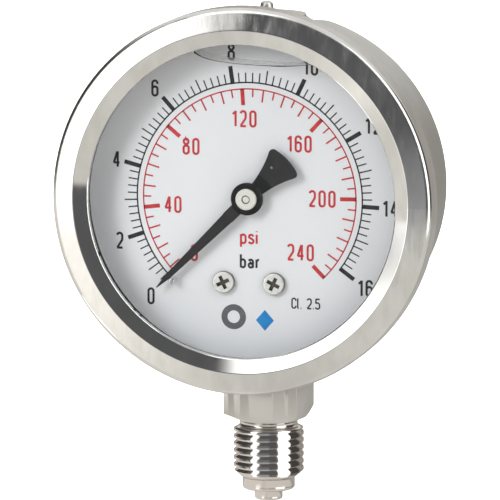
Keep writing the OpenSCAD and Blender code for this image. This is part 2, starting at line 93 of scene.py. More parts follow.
# ---------------------------------------------------------------- mesh helpers
def put(name, bm, matrix=FACING, smooth=40):
    """Turns a bmesh in local millimetres into an object."""
    bmesh.ops.remove_doubles(bm, verts=bm.verts, dist=1e-4)
    bmesh.ops.recalc_face_normals(bm, faces=bm.faces)
    mesh = bpy.data.meshes.new(name)
    bm.to_mesh(mesh)
    bm.free()
    mesh.transform(matrix)
    if matrix.determinant() < 0:
        mesh.flip_normals()
    obj = bpy.data.objects.new(name, mesh)
    bpy.context.scene.collection.objects.link(obj)
    for p in mesh.polygons:
        p.use_smooth = smooth > 0
    if smooth > 0:
        with bpy.context.temp_override(object=obj, selected_objects=[obj], active_object=obj):
            bpy.ops.object.shade_smooth_by_angle(angle=math.radians(smooth))
    return obj


def finish_piece(obj, body, slot, material, *replaced):
    obj.data.materials.clear()
    obj.data.materials.append(material)
    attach(obj, body)
    if replaced:
        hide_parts(*replaced)
    return obj


def arc(cx, cz, r, a0, a1, n=8):
    """Points on part of a circle, angles in degrees."""
    return [(cx + r * math.cos(math.radians(a0 + (a1 - a0) * i / n)),
             cz + r * math.sin(math.radians(a0 + (a1 - a0) * i / n))) for i in range(n + 1)]


MITRE_LIMIT = 0.35
END_REACH = 0.12


def stroke(bm, points, width, z, closed=False, ends=True):
    """A flat line of even width along 2D points; its ends can reach a little past the last points."""
    pts = [Vector(p) for p in points]
    n = len(pts)
    sides = []
    for i, p in enumerate(pts):
        a = pts[i - 1] if i or closed else None
        b = pts[(i + 1) % n] if i < n - 1 or closed else None
        d1 = (p - a).normalized() if a is not None else (b - p).normalized()
        d2 = (b - p).normalized() if b is not None else d1
        t = d1 + d2
        t = t.normalized() if t.length > 1e-6 else d1
        m = Vector((-t.y, t.x))
        e = m * (width / 2 / max(MITRE_LIMIT, abs(m.dot(Vector((-d1.y, d1.x))))))
        q = p.copy()
        if ends and not closed and i in (0, n - 1):
            q = p + t * (END_REACH * width) * (-1 if i == 0 else 1)
        sides.append((bm.verts.new((*(q + e), z)), bm.verts.new((*(q - e), z))))
    for i in range(n if closed else n - 1):
        (a, b), (c, d) = sides[i], sides[(i + 1) % n]
        bm.faces.new((a, b, d, c))


# ---------------------------------------------------------------- materials
def new_material(name):
    m = bpy.data.materials.new(name)
    m.use_nodes = True
    nt = m.node_tree
    nt.nodes.clear()
    out = nt.nodes.new("ShaderNodeOutputMaterial")
    return m, nt, out


def new_principled(name, metallic=0.0):
    """A material of one principled shader."""
    m, nt, out = new_material(name)
    p = nt.nodes.new("ShaderNodeBsdfPrincipled")
    p.inputs["Metallic"].default_value = metallic
    nt.links.new(p.outputs["BSDF"], out.inputs["Surface"])
    return m, nt, p


def place(nt):
    """The three object coordinates, in metres."""
    tc = nt.nodes.new("ShaderNodeTexCoord")
    sep = nt.nodes.new("ShaderNodeSeparateXYZ")
    nt.links.new(tc.outputs["Object"], sep.inputs[0])
    return sep.outputs["X"], sep.outputs["Y"], sep.outputs["Z"]


def noise_on(nt, scale, detail=4, stretch=(1, 1, 1), turn=(0, 0, 0), rough=0.5):
    """Noise over the object's own coordinates, 0 to 1."""
    tc = nt.nodes.new("ShaderNodeTexCoord")
    mp = nt.nodes.new("ShaderNodeMapping")
    mp.inputs["Scale"].default_value = stretch
    mp.inputs["Rotation"].default_value = turn
    nz = nt.nodes.new("ShaderNodeTexNoise")
    nz.inputs["Scale"].default_value = scale
    nz.inputs["Detail"].default_value = detail
    nz.inputs["Roughness"].default_value = rough
    nt.links.new(tc.outputs["Object"], mp.inputs["Vector"])
    nt.links.new(mp.outputs["Vector"], nz.inputs["Vector"])
    return nz.outputs["Fac"]


def ramp(nt, value, lo, hi, a, b):
    """a where value is lo, b where it is hi, and even between them."""
    r = nt.nodes.new("ShaderNodeMapRange")
    r.inputs["From Min"].default_value = lo
    r.inputs["From Max"].default_value = hi
    r.inputs["To Min"].default_value = a
    r.inputs["To Max"].default_value = b
    nt.links.new(value, r.inputs["Value"])
    return r.outputs["Result"]


def tint(nt, value, dark, light, lo=0.35, hi=0.65):
    """A colour that runs from dark at lo to light at hi."""
    c = nt.nodes.new("ShaderNodeValToRGB")
    c.color_ramp.elements[0].position = lo
    c.color_ramp.elements[0].color = (*dark, 1)
    c.color_ramp.elements[1].position = hi
    c.color_ramp.elements[1].color = (*light, 1)
    nt.links.new(value, c.inputs["Fac"])
    return c.outputs["Color"]


def bump(nt, value, strength, distance, normal=None):
    b = nt.nodes.new("ShaderNodeBump")
    b.inputs["Strength"].default_value = strength
    b.inputs["Distance"].default_value = distance
    nt.links.new(value, b.inputs["Height"])
    if normal is not None:
        nt.links.new(normal, b.inputs["Normal"])
    return b.outputs["Normal"]


def math_node(nt, op, a, b=0.0):
    n = nt.nodes.new("ShaderNodeMath")
    n.operation = op
    for k, v in ((0, a), (1, b)):
        if isinstance(v, (int, float)):
            n.inputs[k].default_value = v
        else:
            nt.links.new(v, n.inputs[k])
    return n.outputs[0]


def times(nt, *values):
    result = values[0]
    for v in values[1:]:
        result = math_node(nt, "MULTIPLY", result, v)
    return result


FINE = 2e-5


def surface(name, dark, light, rough, metallic=1.0, colour_scale=60, grain=3000, grain_bump=0.05,
            stretch=(1, 1, 1), specular=0.5):
    """A principled surface with uneven colour and gloss and a fine relief."""
    m, nt, p = new_principled(name, metallic)
    p.inputs["Specular IOR Level"].default_value = specular
    nt.links.new(tint(nt, noise_on(nt, colour_scale, 3, stretch), dark, light), p.inputs["Base Color"])
    fine = noise_on(nt, grain, 3, stretch)
    nt.links.new(ramp(nt, fine, 0.3, 0.7, *rough), p.inputs["Roughness"])
    nt.links.new(bump(nt, fine, grain_bump, FINE), p.inputs["Normal"])
    return m


def from_axis(nt):
    """Distance in metres from the dial's axis, and the two coordinates across it."""
    x, _, z = place(nt)
    up = math_node(nt, "SUBTRACT", z, DIAL_Z * MM)
    square = math_node(nt, "ADD", math_node(nt, "POWER", x, 2.0), math_node(nt, "POWER", up, 2.0))
    return math_node(nt, "SQRT", square), x, up


RIDGE_R = 0.03155
POLISH_SLANT = (0, math.radians(38), 0)


def polished_bezel():
    """Mirror-polished inner flank; outside the ridge the polish is streaky and worn."""
    m, nt, p = new_principled("polished_bezel", 1.0)
    radius, _, _ = from_axis(nt)
    wear_and_painted_shade = ramp(nt, radius, RIDGE_R - 0.00025, RIDGE_R + 0.00025, 0.0, 1.0)
    streaks = noise_on(nt, 700, 4, (1, 1, 0.22), POLISH_SLANT, 0.6)
    patches = noise_on(nt, 260, 3, (1, 1, 0.5), POLISH_SLANT)
    nt.links.new(tint(nt, patches, (0.68, 0.67, 0.645), (0.76, 0.75, 0.73)), p.inputs["Base Color"])
    rough = times(nt, wear_and_painted_shade, ramp(nt, streaks, 0.35, 0.7, 0.02, 0.20))
    rough = math_node(nt, "ADD", rough, ramp(nt, patches, 0.3, 0.7, 0.04, 0.07))
    nt.links.new(rough, p.inputs["Roughness"])
    nt.links.new(bump(nt, times(nt, wear_and_painted_shade, streaks), 0.35, 2.5e-5), p.inputs["Normal"])
    return m


CASE = surface("satin_case", (0.56, 0.555, 0.53), (0.64, 0.635, 0.61), (0.34, 0.48),
               grain=4200, grain_bump=0.25)
PLUG = surface("satin_plug", (0.60, 0.59, 0.56), (0.68, 0.67, 0.64), (0.30, 0.44),
               grain=5200, grain_bump=0.2)
BEZEL = polished_bezel()


# The thread's faces are shaded as rolled smooth: this share of the way to a plain cylinder
ROLLED = 0.91
# How far the shaded faces lean up, on the stem and more so on the thread
LEAN, THREAD_LEAN = 0.03, 0.055


def turned_stem():
    """Bright turned steel with rings of tool marks and a rolled thread."""
    m, nt, p = new_principled("turned_stem", 1.0)
    x, y, height = place(nt)
    threaded = times(nt, ramp(nt, height, 0.0026, 0.0031, 0, 1), ramp(nt, height, 0.0116, 0.0119, 1, 0))
    steel = tint(nt, noise_on(nt, 60, 3), (0.66, 0.62, 0.59), (0.74, 0.69, 0.655))
    nt.links.new(steel, p.inputs["Base Color"])
    rings = noise_on(nt, 2600, 3, (0.2, 0.2, 1))
    nt.links.new(ramp(nt, rings, 0.3, 0.7, 0.08, 0.14), p.inputs["Roughness"])
    outward = nt.nodes.new("ShaderNodeCombineXYZ")
    nt.links.new(x, outward.inputs["X"])
    nt.links.new(y, outward.inputs["Y"])
    across = nt.nodes.new("ShaderNodeVectorMath")
    across.operation = "NORMALIZE"
    nt.links.new(outward.outputs[0], across.inputs[0])
    face = nt.nodes.new("ShaderNodeNewGeometry")
    soft = nt.nodes.new("ShaderNodeMix")
    soft.data_type = "VECTOR"
    nt.links.new(times(nt, threaded, ROLLED), soft.inputs["Factor"])
    vectors = [socket for socket in soft.inputs if socket.type == "VECTOR" and socket.name in "AB"]
    nt.links.new(face.outputs["Normal"], vectors[0])
    nt.links.new(across.outputs[0], vectors[1])
    lift = nt.nodes.new("ShaderNodeCombineXYZ")
    nt.links.new(math_node(nt, "ADD", times(nt, threaded, THREAD_LEAN), LEAN), lift.inputs["Z"])
    lean = nt.nodes.new("ShaderNodeVectorMath")
    nt.links.new(next(socket for socket in soft.outputs if socket.type == "VECTOR"), lean.inputs[0])
    nt.links.new(lift.outputs[0], lean.inputs[1])
    unit = nt.nodes.new("ShaderNodeVectorMath")
    unit.operation = "NORMALIZE"
    nt.links.new(lean.outputs[0], unit.inputs[0])
    nt.links.new(bump(nt, rings, 0.06, FINE, unit.outputs[0]), p.inputs["Normal"])
    return m


STEM = turned_stem()
FLATS = surface("milled_flats", (0.60, 0.585, 0.555), (0.67, 0.655, 0.625), (0.30, 0.42),
                metallic=0.7, grain=2600, grain_bump=0.15, stretch=(1, 1, 0.12))
RUBBER = surface("black_rubber", (0.012, 0.012, 0.013), (0.022, 0.022, 0.024), (0.45, 0.62), metallic=0,
                 grain=2600, grain_bump=0.2)
ENAMEL = surface("dial_enamel", (0.795, 0.805, 0.825), (0.825, 0.835, 0.852), (0.42, 0.55), metallic=0,
                 colour_scale=40, grain=5200, grain_bump=0.03, specular=0.3)


def pointer_paint():
    """Black paint, glossier round the hub and on the neck of the counterweight, and darker there with
    painted shade.
    """
    m, nt, p = new_principled("pointer_black")
    p.inputs["Specular IOR Level"].default_value = 0.35
    radius, right, up = from_axis(nt)
    heavy_side = math_node(nt, "ADD", right, up)
    reach = ramp(nt, heavy_side, -0.0005, 0.0005, 0.0031, 0.0051)
    # Painted shade: round the hub and on the counterweight's neck the black is made darker
    painted_shade_zone = math_node(nt, "LESS_THAN", radius, reach)
    grain = noise_on(nt, 3600, 3)
    paint_and_shade = math_node(nt, "SUBTRACT", ramp(nt, grain, 0.3, 0.7, 0.75, 1.0), times(nt, painted_shade_zone, 0.7))
    black = tint(nt, paint_and_shade, (0.002, 0.002, 0.002), (0.026, 0.026, 0.025), 0.0, 1.0)
    nt.links.new(black, p.inputs["Base Color"])
    gloss = math_node(nt, "SUBTRACT", ramp(nt, grain, 0.3, 0.7, 0.46, 0.58), times(nt, painted_shade_zone, 0.2))
    nt.links.new(gloss, p.inputs["Roughness"])
    nt.links.new(bump(nt, grain, 0.12, FINE), p.inputs["Normal"])
    return m


BLACK = pointer_paint()
INK = surface("ink_black", (0.012, 0.012, 0.012), (0.03, 0.03, 0.03), (0.5, 0.6),
              metallic=0, colour_scale=1500, grain=4200)
RED = surface("ink_red", (0.50, 0.022, 0.030), (0.62, 0.045, 0.052), (0.5, 0.6),
              metallic=0, colour_scale=900, grain=4200)
MARK_GREY = surface("mark_grey", (0.11, 0.11, 0.12), (0.14, 0.14, 0.15), (0.5, 0.6),
                    metallic=0, colour_scale=900, grain=4200)
MARK_BLUE = surface("mark_blue", (0.006, 0.21, 0.56), (0.012, 0.25, 0.62), (0.5, 0.6),
                    metallic=0, colour_scale=900, grain=4200)
BRIGHT = surface("bright_turned", (0.76, 0.755, 0.74), (0.84, 0.835, 0.82), (0.08, 0.16), colour_scale=500,
                 grain=2600, grain_bump=0.08)


def pointer_cap():
    """Pale satin cap; the groove round the end of the shaft is darkened with painted shade."""
    m, nt, p = new_principled("pointer_cap", 0.25)
    radius, _, _ = from_axis(nt)
    # Painted shade: a ring of the cap over the groove is coloured near black
    groove_painted_shade = times(nt, ramp(nt, radius, 0.00058, 0.00063, 0, 1), ramp(nt, radius, 0.00076, 0.00081, 1, 0))
    grain = noise_on(nt, 3600, 3)
    pale = math_node(nt, "SUBTRACT", ramp(nt, grain, 0.3, 0.7, 0.88, 1.0), groove_painted_shade)
    nt.links.new(tint(nt, pale, (0.05, 0.05, 0.045), (0.86, 0.84, 0.78), 0.0, 1.0), p.inputs["Base Color"])
    nt.links.new(ramp(nt, grain, 0.3, 0.7, 0.30, 0.42), p.inputs["Roughness"])
    nt.links.new(bump(nt, grain, 0.1, FINE), p.inputs["Normal"])
    return m


CAP = pointer_cap()


def screw_head():
    """Bright rolled top; the recess and the head's side are darkened with painted shade."""
    m, nt, p = new_principled("screw_head", 0.35)
    _, y, _ = place(nt)
    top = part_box("dial_screws")[0].y
    grain = noise_on(nt, 1500, 4)
    # Painted shade: below the top face, in the recess and on the side, the colour runs to dark
    raised = ramp(nt, y, top + 0.00026, top + 0.00008, 0.0, 1.0)
    wear_and_painted_shade = times(nt, raised, ramp(nt, grain, 0.25, 0.5, 0.75, 1.0))
    nt.links.new(tint(nt, wear_and_painted_shade, (0.13, 0.12, 0.09), (0.90, 0.89, 0.86), 0.0, 1.0), p.inputs["Base Color"])
    nt.links.new(ramp(nt, grain, 0.3, 0.7, 0.14, 0.26), p.inputs["Roughness"])
    nt.links.new(bump(nt, grain, 0.15, 3e-5), p.inputs["Normal"])
    return m


SCREW = screw_head()
BRASS = surface("machined_brass", (0.60, 0.42, 0.17), (0.70, 0.50, 0.22), (0.16, 0.30), colour_scale=200,
                grain=2200, grain_bump=0.12, stretch=(1, 1, 0.2))
BRONZE = surface("drawn_bronze", (0.50, 0.30, 0.13), (0.62, 0.39, 0.19), (0.22, 0.38), colour_scale=140,
                 grain=1800, grain_bump=0.15)


def clear(name, gloss, colour):
    """Thin clear sheet: what lies behind it shows through unbent, with a Fresnel gloss on top."""
    m, nt, out = new_material(name)
    t = nt.nodes.new("ShaderNodeBsdfTransparent")
    t.inputs["Color"].default_value = (*colour, 1)
    g = nt.nodes.new("ShaderNodeBsdfGlossy")
    g.inputs["Roughness"].default_value = 0.02
    f = nt.nodes.new("ShaderNodeFresnel")
    f.inputs["IOR"].default_value = 1.45
    haze = ramp(nt, noise_on(nt, 90, 2), 0.3, 0.7, gloss * 0.8, gloss)
    mix = nt.nodes.new("ShaderNodeMixShader")
    nt.links.new(times(nt, f.outputs["Fac"], haze), mix.inputs["Fac"])
    nt.links.new(t.outputs[0], mix.inputs[1])
    nt.links.new(g.outputs[0], mix.inputs[2])
    nt.links.new(mix.outputs[0], out.inputs["Surface"])
    return m


GLASS = clear("window_glass", 0.4, (0.985, 0.99, 0.995))


def liquid(name, colour, clear_part):
    """Liquid seen edge-on: a soft colour, painted in place of the light the clear liquid reflects and
    bends, that lets part of what lies behind it through.
    """
    m, nt, out = new_material(name)
    p = nt.nodes.new("ShaderNodeBsdfPrincipled")
    p.inputs["Roughness"].default_value = 0.2
    t = nt.nodes.new("ShaderNodeBsdfTransparent")
    ripple = noise_on(nt, 500, 2, (1, 1, 3))
    nt.links.new(tint(nt, ripple, tuple(0.94 * c for c in colour), colour), p.inputs["Base Color"])
    mix = nt.nodes.new("ShaderNodeMixShader")
    nt.links.new(ramp(nt, ripple, 0.3, 0.7, clear_part * 0.85, clear_part * 1.15), mix.inputs["Fac"])
    nt.links.new(p.outputs[0], mix.inputs[1])
    nt.links.new(t.outputs[0], mix.inputs[2])
    nt.links.new(mix.outputs[0], out.inputs["Surface"])
    return m


# Painted reflection: the pale sheet's colour stands in for the clear liquid's surface reflecting the white
# dial
LIQUID_PAINTED_REFLECTION = liquid("liquid_surface_painted_reflection", (0.90, 0.91, 0.92), 0.6)
# Painted shade: the near-black bead stands in for the dark line along the clear liquid's curved edge
MENISCUS_PAINTED_SHADE = liquid("liquid_edge_painted_shade", (0.035, 0.035, 0.036), 0.15)

LOOKS = {
    CASE: ["case"], PLUG: ["filler_plug"], BEZEL: ["bezel"], GLASS: ["window"], RUBBER: ["window_gasket"],
    ENAMEL: ["dial"], BLACK: ["pointer"], CAP: ["pointer_hub", "pinion_arbor"], SCREW: ["dial_screws"],
    BRIGHT: ["zero_stop_pin", "pillar_screws", "movement_screws", "sector_arbor", "sector_link_pin",
             "tip_link_pin"],
    BRASS: ["hairspring_collet", "hairspring_stud", "movement_front_plate", "movement_back_plate",
            "plate_pillars", "sector", "link", "tube_tip", "restrictor_screw"],
    BRONZE: ["hairspring", "bourdon_tube"],
}
for material, names in LOOKS.items():
    for name in names:
        obj = NODES[name]
        obj.data.materials.clear()
        obj.data.materials.append(material)


# ---------------------------------------------------------------- dial print
# Height of the print, and of each further stroke of a character over the one before
PRINT_F, LAYER = DIAL_F + 0.02, 0.004
# Degrees from one bar to the next, clockwise, and the place of 8 bar
BAR_STEP, BAR_AT_8 = 16.836, -8.49
PSI_PER_BAR = 14.5038
# Radii of the two scales' arcs
BLACK_R, RED_R = 21.23, 20.04


def on_dial(angle, r):
    """Point at an angle clockwise from the top."""
    a = math.radians(angle)
    return (r * math.sin(a), r * math.cos(a))


def bar_angle(bar):
    return BAR_AT_8 + BAR_STEP * (bar - 8)


def psi_angle(psi):
    return bar_angle(psi / PSI_PER_BAR)


def tick(bm, angle, r0, r1, width):
    stroke(bm, [on_dial(angle, r0), on_dial(angle, r1)], width, PRINT_F, ends=False)


def scale_arc(bm, r, a0, a1, width):
    n = 180
    stroke(bm, [on_dial(a0 + (a1 - a0) * i / n, r) for i in range(n + 1)], width, PRINT_F, ends=False)


def bow(cx, cy, rx, ry, a0, a1, n=10):
    """Part of an ellipse, for the letter shapes."""
    return [(cx + rx * math.cos(math.radians(a0 + (a1 - a0) * i / n)),
             cy + ry * math.sin(math.radians(a0 + (a1 - a0) * i / n))) for i in range(n + 1)]


def glyph(ch, w):
    """Centre lines of one character of width w in a box 1 high, and its own width."""
    h = w / 2
    if ch == "0":
        return [(bow(h, 1 - h, h, h, 0, 180) + bow(h, h, h, h, 180, 360), True)], w
    if ch == "1":
        return [([(0.02, 0.80), (0.20, 0.97)], False), ([(0.20, 1.0), (0.20, 0)], False)], 0.22
    if ch == "2":
        swan = bow(h, 1 - h, h, h, 165, 0) + bow(0.7 * h, 0.66, 1.3 * h, 0.32, 0, -35) + [(0.02, 0.03)]
        return [(swan, False), ([(0, 0), (w, 0)], False)], w
    if ch == "4":
        return [([(0.68 * w, 1.0), (0.0, 0.27)], False), ([(0, 0.27), (w + 0.02, 0.27)], False),
                ([(0.76 * w, 1.0), (0.76 * w, 0)], False)], w
    if ch == "5":
        return [([(w, 1), (0.03, 1)], False), ([(0.03, 1), (0.01, 0.56)], False),
                (bow(h - 0.01, 0.36, h + 0.01, 0.26, 130, 0) + bow(h - 0.01, h, h + 0.01, h, 0, -165),
                 False)], w
    if ch == "6":
        return [(bow(h, 0.44, h, 0.16, 0, 180) + bow(h, h, h, h, 180, 360), True),
                ([(w * 0.98, 0.80)] + bow(h, 1 - h, h, h, 10, 180) + [(0, h)], False)], w
    if ch == "8":
        return [(bow(h, 0.82, h * 0.92, 0.18, 90, 450, 20), True),
                (bow(h, 0.40, h, 0.14, 0, 180) + bow(h, h, h, h, 180, 360), True)], w
    if ch == ".":
        return [([(0.02, 0.0), (0.06, 0.0)], False)], 0.08
    if ch == "C":
        open_bowl = bow(h, 1 - h, h, h, 0, 180) + bow(h, h, h, h, 180, 360)
        return [([(w, 0.76)] + open_bowl + [(w, 0.24)], False)], w
    if ch == "l":
        return [([(0, 1.0), (0, 0.10)] + bow(0.09, 0.09, 0.09, 0.09, 180, 270, 5), False)], 0.10
    if ch == "b":
        return [([(0, 1.16), (0, 0)], False),
                (bow(h, 0.72 - h, h, h, 0, 180) + bow(h, h, h, h, 180, 360), True)], w
    if ch == "p":
        return [([(0, 0.72), (0, -0.30)], False),
                (bow(h, 0.72 - h, h, h, 0, 180) + bow(h, h, h, h, 180, 360), True)], w
    if ch == "a":
        return [(bow(h, 0.72 - h, h, h, 150, 0) + [(w, 0)], False),
                (bow(h, 0.20, h, 0.20, 90, 450, 16), True)], w
    if ch == "r":
        return [([(0, 0.72), (0, 0)], False), (bow(0.20, 0.52, 0.20, 0.20, 180, 85, 6), False)], 0.22
    if ch == "s":
        return [(bow(h, 0.55, h * 0.9, 0.17, 15, 200, 8) + bow(h, 0.18, h, 0.18, 60, -160, 10), False)], w
    if ch == "i":
        return [([(0, 0.72), (0, 0)], False), ([(0, 0.99), (0, 1.02)], False)], 0.02
    return [], 0.22


def word(bm, text, x, base, size, line, gap, width):
    """Writes text centred on x, with its strokes' centre lines standing on base."""
    glyphs = [glyph(c, width) for c in text]
    total = sum(w for _, w in glyphs) + gap * (len(text) - 1)
    cx = x - total * size / 2
    for strokes, w in glyphs:
        for layer, (pts, closed) in enumerate(strokes):
            outline = [(cx + px * size, base + py * size) for px, py in pts]
            stroke(bm, outline, line, PRINT_F + LAYER * layer, closed)
        cx += (w + gap) * size


NUMBER_SIZE, NUMBER_LINE, NUMBER_GAP, NUMBER_WIDTH = 2.75, 0.42, 0.32, 0.35
BAR_NUMBER_R = 24.93
PSI_NUMBER_R = 16.24
ZERO_NUMBER_AT = -135.3
# The topmost number stands above the liquid, and so seems to stand a little up and to the right
ABOVE_LIQUID_Y, ABOVE_LIQUID_SHIFT = 26, Vector((0.53, 0.46))
SCALE_START = -135.5


def number(bm, value, angle, ring_r, side, rounding):
    """Writes a number whose box touches a circle from outside (side 1) or inside (side -1)."""
    text = str(value)
    width = sum(glyph(c, NUMBER_WIDTH)[1] for c in text) + NUMBER_GAP * (len(text) - 1)
    a = math.radians(angle)
    across = (width * NUMBER_SIZE + NUMBER_LINE) / 2 * math.sin(a)
    along = (NUMBER_SIZE + NUMBER_LINE) / 2 * math.cos(a)
    reach = (1 - rounding) * (abs(across) + abs(along)) + rounding * math.hypot(across, along)
    at = Vector(on_dial(angle, ring_r + side * reach))
    if at.y > ABOVE_LIQUID_Y:
        at += ABOVE_LIQUID_SHIFT
    word(bm, text, at.x, at.y - NUMBER_SIZE / 2, NUMBER_SIZE, NUMBER_LINE, NUMBER_GAP, NUMBER_WIDTH)

MINOR_BARS, MINOR_PSI = 0.2, 5
# The scales start a little above zero
FIRST_BAR, FIRST_PSI = 0.5, 10

black = bmesh.new()
scale_arc(black, BLACK_R, SCALE_START, bar_angle(16) + 0.7, 0.27)
for i in range(81):
    bar = i * MINOR_BARS
    if bar < FIRST_BAR:
        continue
    if i % 10 == 0:
        tick(black, bar_angle(bar), BLACK_R - 0.13, 24.40, 0.78)
    elif i % 5 == 0:
        tick(black, bar_angle(bar), BLACK_R, 23.68, 0.25)
    else:
        tick(black, bar_angle(bar), BLACK_R, 23.05, 0.24)
for value in range(0, 17, 2):
    number(black, value, bar_angle(value) if value else ZERO_NUMBER_AT, BAR_NUMBER_R, 1, 0)
word(black, "bar", 0.10, -12.90, 2.02, 0.40, 0.335, 0.40)
word(black, "Cl. 2.5", 10.66, -20.11, 1.80, 0.28, 0.20, 0.40)
red = bmesh.new()
scale_arc(red, RED_R, SCALE_START, psi_angle(240) + 0.8, 0.25)
for i in range(49):
    psi = i * MINOR_PSI
    if psi < FIRST_PSI:
        continue
    if i % 8 == 0:
        tick(red, psi_angle(psi), RED_R + 0.12, 17.06, 0.74)
    elif i % 2 == 0:
        tick(red, psi_angle(psi), RED_R, 17.77, 0.30)
    else:
        tick(red, psi_angle(psi), RED_R, 18.55, 0.28)
for value in range(0, 241, 40):
    number(red, value, psi_angle(value) if value else ZERO_NUMBER_AT, PSI_NUMBER_R, -1, 0.5)
word(red, "psi", -0.07, -8.42, 2.20, 0.40, 0.275, 0.40)
finish_piece(put("scale_print_black", black, smooth=0), "housing", "pointer_black", INK)
finish_piece(put("scale_print_red", red, smooth=0), "housing", "dial_white", RED)

# A plain mark of a grey ring and a blue diamond
MARK_X, MARK_RING_R = 2.95, 1.75
MARK_HALF_W, MARK_HALF_H = 1.7, 1.95
grey = bmesh.new()
stroke(grey, bow(-MARK_X, -22.15, MARK_RING_R, MARK_RING_R, 0, 354, 60), 1.15, PRINT_F, closed=True)
finish_piece(put("dial_mark_grey", grey, smooth=0), "housing", "dial_white", MARK_GREY)
blue = bmesh.new()
diamond = [(0, MARK_HALF_H), (MARK_HALF_W, 0), (0, -MARK_HALF_H), (-MARK_HALF_W, 0)]
blue.faces.new([blue.verts.new((MARK_X + x, -22.6 + y, PRINT_F)) for x, y in diamond])
finish_piece(put("dial_mark_blue", blue, smooth=0), "housing", "dial_white", MARK_BLUE)


# ---------------------------------------------------------------- the liquid's surface behind the window
LEVEL_LEFT, LEVEL_RIGHT = -9.67, 12.5


def level(x):
    """Height of the liquid's edge on the window, which creeps up at both ends."""
    return (24.72 + 0.0042 * (x - 6) ** 2 + 1.22 * math.exp(-(x - LEVEL_LEFT) / 1.7)
            + 0.36 * math.exp(-(LEVEL_RIGHT - x) / 2.2))


def bead_width(x):
    return 0.10 + 0.42 * math.exp(-(x - LEVEL_LEFT) / 1.1) + 0.11 * math.exp(-((x - 6.6) / 2.4) ** 2)


LEVEL_STEPS, BEAD_SIDES, SHEET_STEPS = 120, 8, 4
BEAD_F, BEAD_HALF_DEPTH = WINDOW_BACK_F - 0.10, 0.08
SHEET_F, SHEET_DEPTH, SHEET_T = WINDOW_BACK_F - 0.15, WINDOW_BACK_F - DIAL_F - 0.35, 0.04
level_x = [LEVEL_LEFT + (LEVEL_RIGHT - LEVEL_LEFT) * i / LEVEL_STEPS for i in range(LEVEL_STEPS + 1)]
# The liquid's edge along the window: a near-black bead in painted shade
bead = bmesh.new()
rings = []
for x in level_x:
    w = bead_width(x) / 2
    rings.append([bead.verts.new((x, level(x) + w * math.sin(a), BEAD_F + BEAD_HALF_DEPTH * math.cos(a)))
                  for a in (2 * math.pi * k / BEAD_SIDES for k in range(BEAD_SIDES))])
for p, q in zip(rings, rings[1:]):
    for k in range(BEAD_SIDES):
        k2 = (k + 1) % BEAD_SIDES
        bead.faces.new((p[k], q[k], q[k2], p[k2]))
bead.faces.new(rings[0])
bead.faces.new(rings[-1])
finish_piece(put("liquid_edge_painted_shade", bead, smooth=60), "housing", "window_glass", MENISCUS_PAINTED_SHADE)

# The liquid's surface: a pale sheet in painted reflection
sheet = bmesh.new()
rows = []
for x in level_x:
    rise = 0.72 - 0.022 * (x + 3)
    rows.append([sheet.verts.new((x, level(x) + rise * t, SHEET_F - SHEET_DEPTH * t))
                 for t in (k / SHEET_STEPS for k in range(SHEET_STEPS + 1))])
for p, q in zip(rows, rows[1:]):
    for k in range(SHEET_STEPS):
        sheet.faces.new((p[k], q[k], q[k + 1], p[k + 1]))
bmesh.ops.solidify(sheet, geom=sheet.faces[:], thickness=SHEET_T)
finish_piece(put("liquid_surface_painted_reflection", sheet, smooth=60), "housing", "window_glass", LIQUID_PAINTED_REFLECTION)


# ---------------------------------------------------------------- threaded stem
# Millimetres, heights from the sealing face
PIN_R, PIN_END, PIN_ROUND, BORE_R, BORE_DEPTH = 2.6, -2.0, 0.45, 1.52, 5.2
COLLAR_R, COLLAR_TOP, COLLAR_ROUND = 4.9, 2.15, 0.6
THREAD_R, PITCH, THREAD_DEPTH, CREST_HALF = 6.5785, 1.337, 0.84, 0.22
# Height of a crest at the front, the thread's end, and how fast it runs in and out
FRONT_CREST, THREAD_TOP, RUN_IN, RUN_OUT = 3.50, 12.05, 1.15, 2.5
NECK_R, SQUARE_FROM = 5.42, 13.0
SQUARE_TOP, BLOCK_TOP = 24.6, 39.5
HALF_AF, BLOCK_HALF = 7.0, 6.8
CONE_SLOPE = math.tan(math.radians(24))
# The front face's right end turns back a little from here
TURN_X, TURN_SLOPE = 5.4, math.tan(math.radians(4))
SQUARE_EDGE, BLOCK_EDGE = 0.15, 0.05


def square_outline(half_x, half_f, edge, turned):
    """Rounded rectangle as (x, f) points; the front face's right end can turn back a little."""
    pts = []
    side = [-1 + 2 * (i + 0.5) / 24 for i in range(24)]
    near_turn = [-(TURN_X + d) / 7 for d in (-0.07, -0.01, 0.01, 0.07)]
    for turn in range(4):
        a = math.radians(90 * turn)
        hx, hf = (half_x, half_f) if turn % 2 == 0 else (half_f, half_x)
        # This side runs up along its own second axis, at distance hx from the stem's axis
        marks = sorted(side + near_turn) if turn == 1 else side
        run = [(hx, (hf - edge) * t) for t in marks]
        run += arc(hx - edge, hf - edge, edge, 0, 90, 6)
        for u, v in run:
            x, f = u * math.cos(a) - v * math.sin(a), u * math.sin(a) + v * math.cos(a)
            if turned and f > 0 and x > TURN_X:
                f -= TURN_SLOPE * (x - TURN_X) * min(1, max(0, (f - half_f + 1.2) / 1.2))
            pts.append((x, f))
    return pts


outer = square_outline(HALF_AF, HALF_AF, SQUARE_EDGE, True)
inner = square_outline(BLOCK_HALF, HALF_AF, BLOCK_EDGE, False)
angles = [math.atan2(f, x) for x, f in outer]


